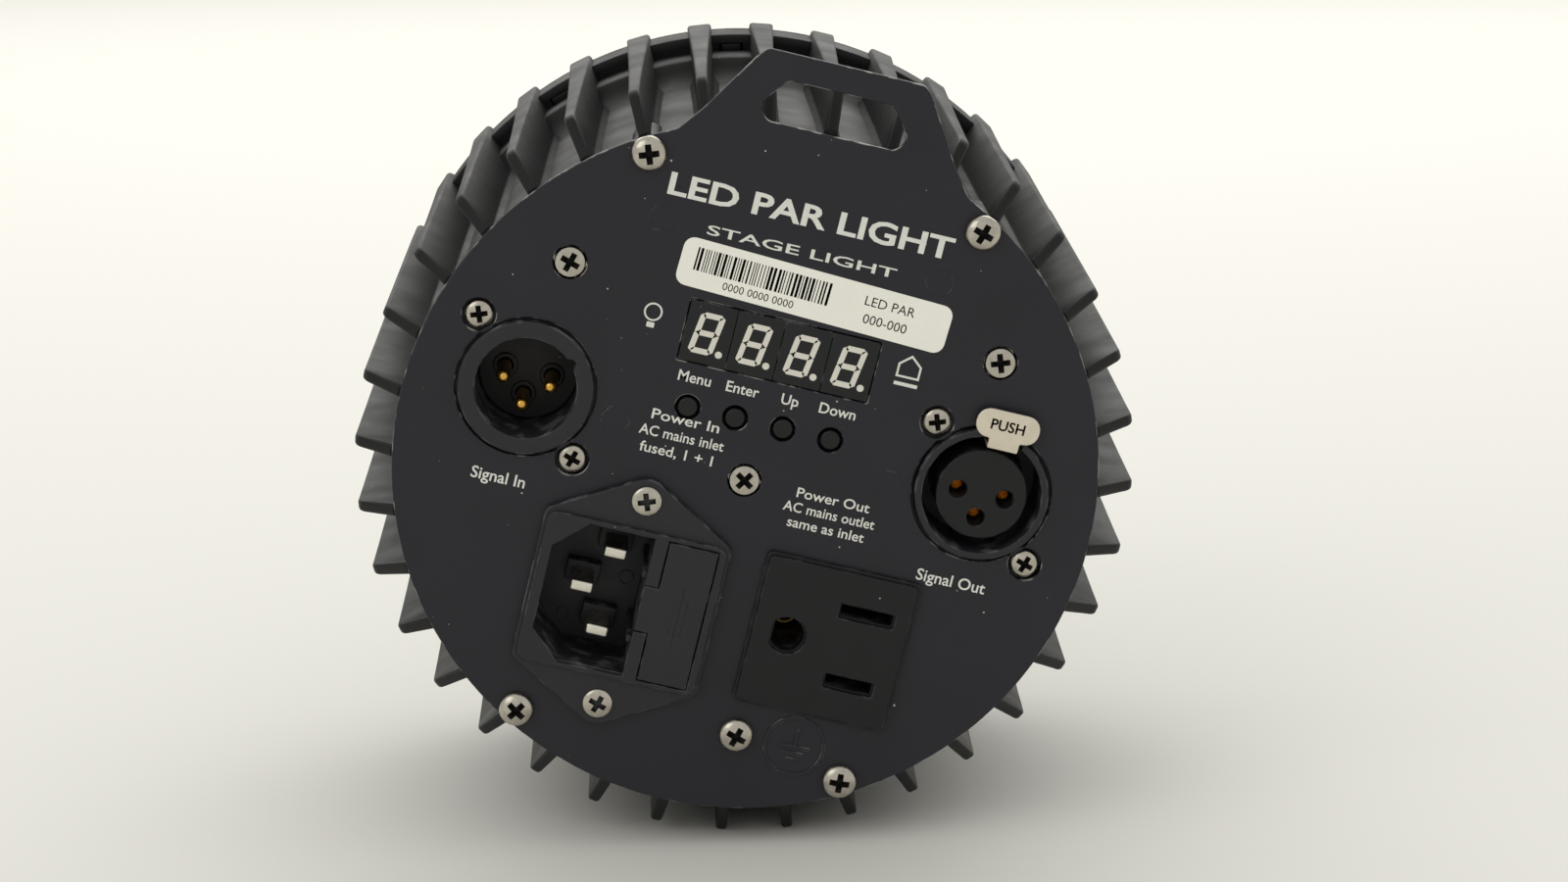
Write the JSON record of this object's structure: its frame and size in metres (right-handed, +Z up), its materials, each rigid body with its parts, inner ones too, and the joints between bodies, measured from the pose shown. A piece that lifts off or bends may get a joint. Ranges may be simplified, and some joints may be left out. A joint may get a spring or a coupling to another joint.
{
  "type": "led par can light",
  "caption": "Round finned LED stage light with a flat rear panel: display, buttons, signal sockets, fused power inlet, power outlet and a handle tab.",
  "frame": {"origin": "bottom centre of the whole lamp as it rests on the tips of two neighbouring fins, midway between the inlet's raised face and the front bezel", "axes": "+Z up from the surface, with the handle tab leaning 15 degrees from it to +X, +Y along the beam out of the front glass, +X to the right when the rear panel is looked at"},
  "size_m": [0.1314, 0.0824, 0.1366],
  "materials": {
    "black_abs": "satin moulded",
    "powder_coat": "fine-textured powder coat",
    "nickel_screw": "nickel plated",
    "socket_nylon": "glass-filled nylon",
    "gold_pin": "gold plated",
    "tin_brass": "tin-nickel plated",
    "latch_steel": "worn nickel plate",
    "display_black": "satin moulded",
    "segment_cream": "diffusing resin",
    "button_black": "moulded",
    "label_paper": "printed vinyl",
    "glass_clear": "polished",
    "lens_pmma": "moulded acrylic",
    "gasket_rubber": "moulded",
    "led_package": "silicone over ceramic",
    "white_board": "solder mask",
    "sink_aluminium": "extruded",
    "board_green": "solder mask",
    "chip_black": "moulded epoxy",
    "ferrite_core": "sintered ferrite and copper windings",
    "capacitor_sleeve": "shrink sleeve over an aluminium can",
    "lead_red": "PVC",
    "lead_blue": "PVC",
    "fuse_glass": "glass tube with plated caps"
  },
  "bodies": {
    "root": {"housing_shell": "black_abs", "front_bezel": "black_abs", "glass_gasket": "gasket_rubber", "front_glass": "glass_clear", "lens_plate": "black_abs", "collimator_lens_1": "lens_pmma", "collimator_lens_2": "lens_pmma", "collimator_lens_3": "lens_pmma", "led_emitter_1": "led_package", "led_emitter_2": "led_package", "led_emitter_3": "led_package", "led_board": "white_board", "heat_sink": "sink_aluminium", "heat_sink_screws": "nickel_screw", "lens_plate_posts": "sink_aluminium", "lens_plate_screws": "nickel_screw", "rear_panel": "powder_coat", "rim_screws": "nickel_screw", "earth_screw": "nickel_screw", "earth_nut": "nickel_screw", "board_screws": "nickel_screw", "board_standoffs": "sink_aluminium", "xlr_in_shell": "socket_nylon", "xlr_in_insert": "socket_nylon", "xlr_in_pins": "gold_pin", "xlr_in_screws": "nickel_screw", "xlr_out_shell": "socket_nylon", "xlr_out_insert": "socket_nylon", "xlr_out_contacts": "gold_pin", "xlr_out_screws": "nickel_screw", "inlet_body": "socket_nylon", "inlet_blades": "tin_brass", "inlet_screws": "nickel_screw", "fuse_contacts": "tin_brass", "outlet_body": "socket_nylon", "outlet_contacts": "tin_brass", "display_digit_1": "display_black", "display_digit_2": "display_black", "display_digit_3": "display_black", "display_digit_4": "display_black", "display_segments": "segment_cream", "switch_bodies": "chip_black", "control_board": "board_green", "controller_chips": "chip_black", "power_board": "board_green", "power_board_posts": "tin_brass", "transformer": "ferrite_core", "capacitors": "capacitor_sleeve", "mains_leads": "lead_red", "led_leads": "lead_red", "signal_leads": "lead_blue", "label_sticker": "label_paper"},
    "fuse_drawer": {"fuse_drawer": "socket_nylon", "fuse": "fuse_glass", "spare_fuse": "fuse_glass"},
    "xlr_latch": {"xlr_out_latch": "latch_steel"},
    "menu_button": {"button_menu": "button_black"},
    "enter_button": {"button_enter": "button_black"},
    "up_button": {"button_up": "button_black"},
    "down_button": {"button_down": "button_black"}
  },
  "joints": [
    {"name": "fuse_drawer_slide", "type": "slide", "parent": "root", "child": "fuse_drawer", "axis": [0, -1, 0], "range_m": [0, 0.021]},
    {"name": "latch_press", "type": "hinge", "parent": "root", "child": "xlr_latch", "pos_m": [0.04315, -0.0378, 0.07105], "axis": [-0.9659, 0, 0.2588], "range_deg": [0, 6.5], "stiffness_Nm_per_rad": 0.05},
    {"name": "menu_press", "type": "slide", "parent": "root", "child": "menu_button", "axis": [0, 1, 0], "range_m": [0, 0.0005], "stiffness_N_per_m": 800},
    {"name": "enter_press", "type": "slide", "parent": "root", "child": "enter_button", "axis": [0, 1, 0], "range_m": [0, 0.0005], "stiffness_N_per_m": 800},
    {"name": "up_press", "type": "slide", "parent": "root", "child": "up_button", "axis": [0, 1, 0], "range_m": [0, 0.0005], "stiffness_N_per_m": 800},
    {"name": "down_press", "type": "slide", "parent": "root", "child": "down_button", "axis": [0, 1, 0], "range_m": [0, 0.0005], "stiffness_N_per_m": 800}
  ]
}
